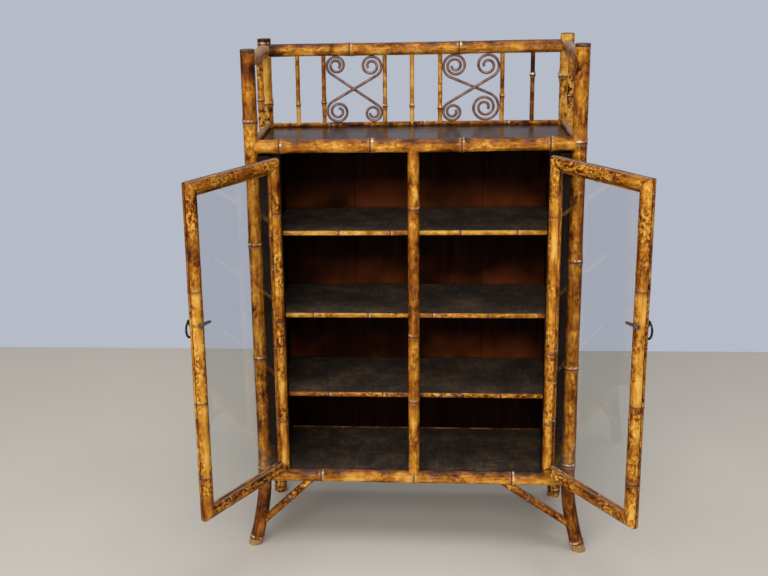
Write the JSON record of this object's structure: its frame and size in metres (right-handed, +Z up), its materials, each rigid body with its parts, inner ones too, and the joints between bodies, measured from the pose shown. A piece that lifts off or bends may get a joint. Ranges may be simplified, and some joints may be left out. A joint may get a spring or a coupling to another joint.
{
  "type": "glazed bamboo display cabinet",
  "caption": "Tall bamboo-framed display cabinet with a pair of hinged glazed doors, turn latches with drop rings, shelves, a scrolled cane gallery on top and splayed front legs.",
  "frame": {"origin": "on the floor, midway between the axes of the two front posts, which is also the middle of the footprint with the doors open", "axes": "+X to the right as seen from the front, +Y from the front to the back, +Z up"},
  "size_m": [0.9016, 0.5478, 1.127],
  "materials": {
    "bamboo": "glossy lacquered tortoiseshell bamboo",
    "cane": "dull bent cane",
    "dark_board": "glossy black lacquer",
    "case_timber": "dark stained timber",
    "back_boards": "dark red-brown upright boards",
    "shelf_matting": "dull dark grass matting",
    "glass": "clear thin old glass",
    "iron": "dark worn iron"
  },
  "bodies": {
    "carcass": {"post_front_left": "bamboo", "post_front_right": "bamboo", "post_rear_left": "bamboo", "post_rear_right": "bamboo", "rail_front_top": "bamboo", "rail_front_bottom": "bamboo", "rail_back_bottom": "bamboo", "rail_side_top_left": "bamboo", "rail_side_top_right": "bamboo", "rail_side_bottom_left": "bamboo", "rail_side_bottom_right": "bamboo", "leg_brace_left": "bamboo", "leg_brace_right": "bamboo", "centre_stile": "bamboo", "gallery_rail_back": "bamboo", "gallery_rail_left": "bamboo", "gallery_rail_right": "bamboo", "gallery_base_back": "bamboo", "gallery_base_left": "bamboo", "gallery_base_right": "bamboo", "spindle_back_1": "bamboo", "spindle_back_2": "bamboo", "spindle_back_3": "bamboo", "spindle_back_4": "bamboo", "spindle_back_5": "bamboo", "spindle_back_6": "bamboo", "spindle_back_7": "bamboo", "spindle_side_left": "bamboo", "spindle_side_right": "bamboo", "shelf_edging_lower": "bamboo", "shelf_edging_middle": "bamboo", "shelf_edging_upper": "bamboo", "scroll_left_rising": "cane", "scroll_left_falling": "cane", "scroll_right_rising": "cane", "scroll_right_falling": "cane", "top_board": "dark_board", "bottom_board": "case_timber", "side_board_left": "case_timber", "side_board_right": "case_timber", "back_panel": "back_boards", "shelf_lower": "shelf_matting", "shelf_middle": "shelf_matting", "shelf_upper": "shelf_matting", "hinge_fixed_left_upper": "iron", "hinge_fixed_left_lower": "iron", "hinge_fixed_right_upper": "iron", "hinge_fixed_right_lower": "iron"},
    "door_left": {"door_frame_left": "bamboo", "door_glass_left": "glass", "hinge_moving_left_upper": "iron", "hinge_moving_left_lower": "iron"},
    "latch_left": {"latch_left": "iron"},
    "drop_left": {"handle_drop_left": "iron"},
    "door_right": {"door_frame_right": "bamboo", "door_glass_right": "glass", "hinge_moving_right_upper": "iron", "hinge_moving_right_lower": "iron"},
    "latch_right": {"latch_right": "iron"},
    "drop_right": {"handle_drop_right": "iron"}
  },
  "joints": [
    {"name": "door_left_swing", "type": "hinge", "parent": "carcass", "child": "door_left", "pos_m": [-0.299, -0.0155, 0.55], "axis": [0, 0, -1], "range_deg": [-120.2, 44.8]},
    {"name": "door_right_swing", "type": "hinge", "parent": "carcass", "child": "door_right", "pos_m": [0.299, -0.0155, 0.55], "axis": [0, 0, 1], "range_deg": [-122.5, 42.5]},
    {"name": "latch_left_turn", "type": "hinge", "parent": "door_left", "child": "latch_left", "pos_m": [-0.42242, -0.25838, 0.62], "axis": [0.8643, -0.503, 0], "range_deg": [0, 180]},
    {"name": "latch_right_turn", "type": "hinge", "parent": "door_right", "child": "latch_right", "pos_m": [0.43207, -0.25323, 0.62], "axis": [0.8434, 0.5373, 0], "range_deg": [0, 180]},
    {"name": "drop_left_swing", "type": "hinge", "parent": "latch_left", "child": "drop_left", "pos_m": [-0.43911, -0.24867, 0.62], "axis": [0.503, 0.8643, 0], "range_deg": [0, 150]},
    {"name": "drop_right_swing", "type": "hinge", "parent": "latch_right", "child": "drop_right", "pos_m": [0.44835, -0.24286, 0.62], "axis": [0.5373, -0.8434, 0], "range_deg": [0, 150]}
  ]
}
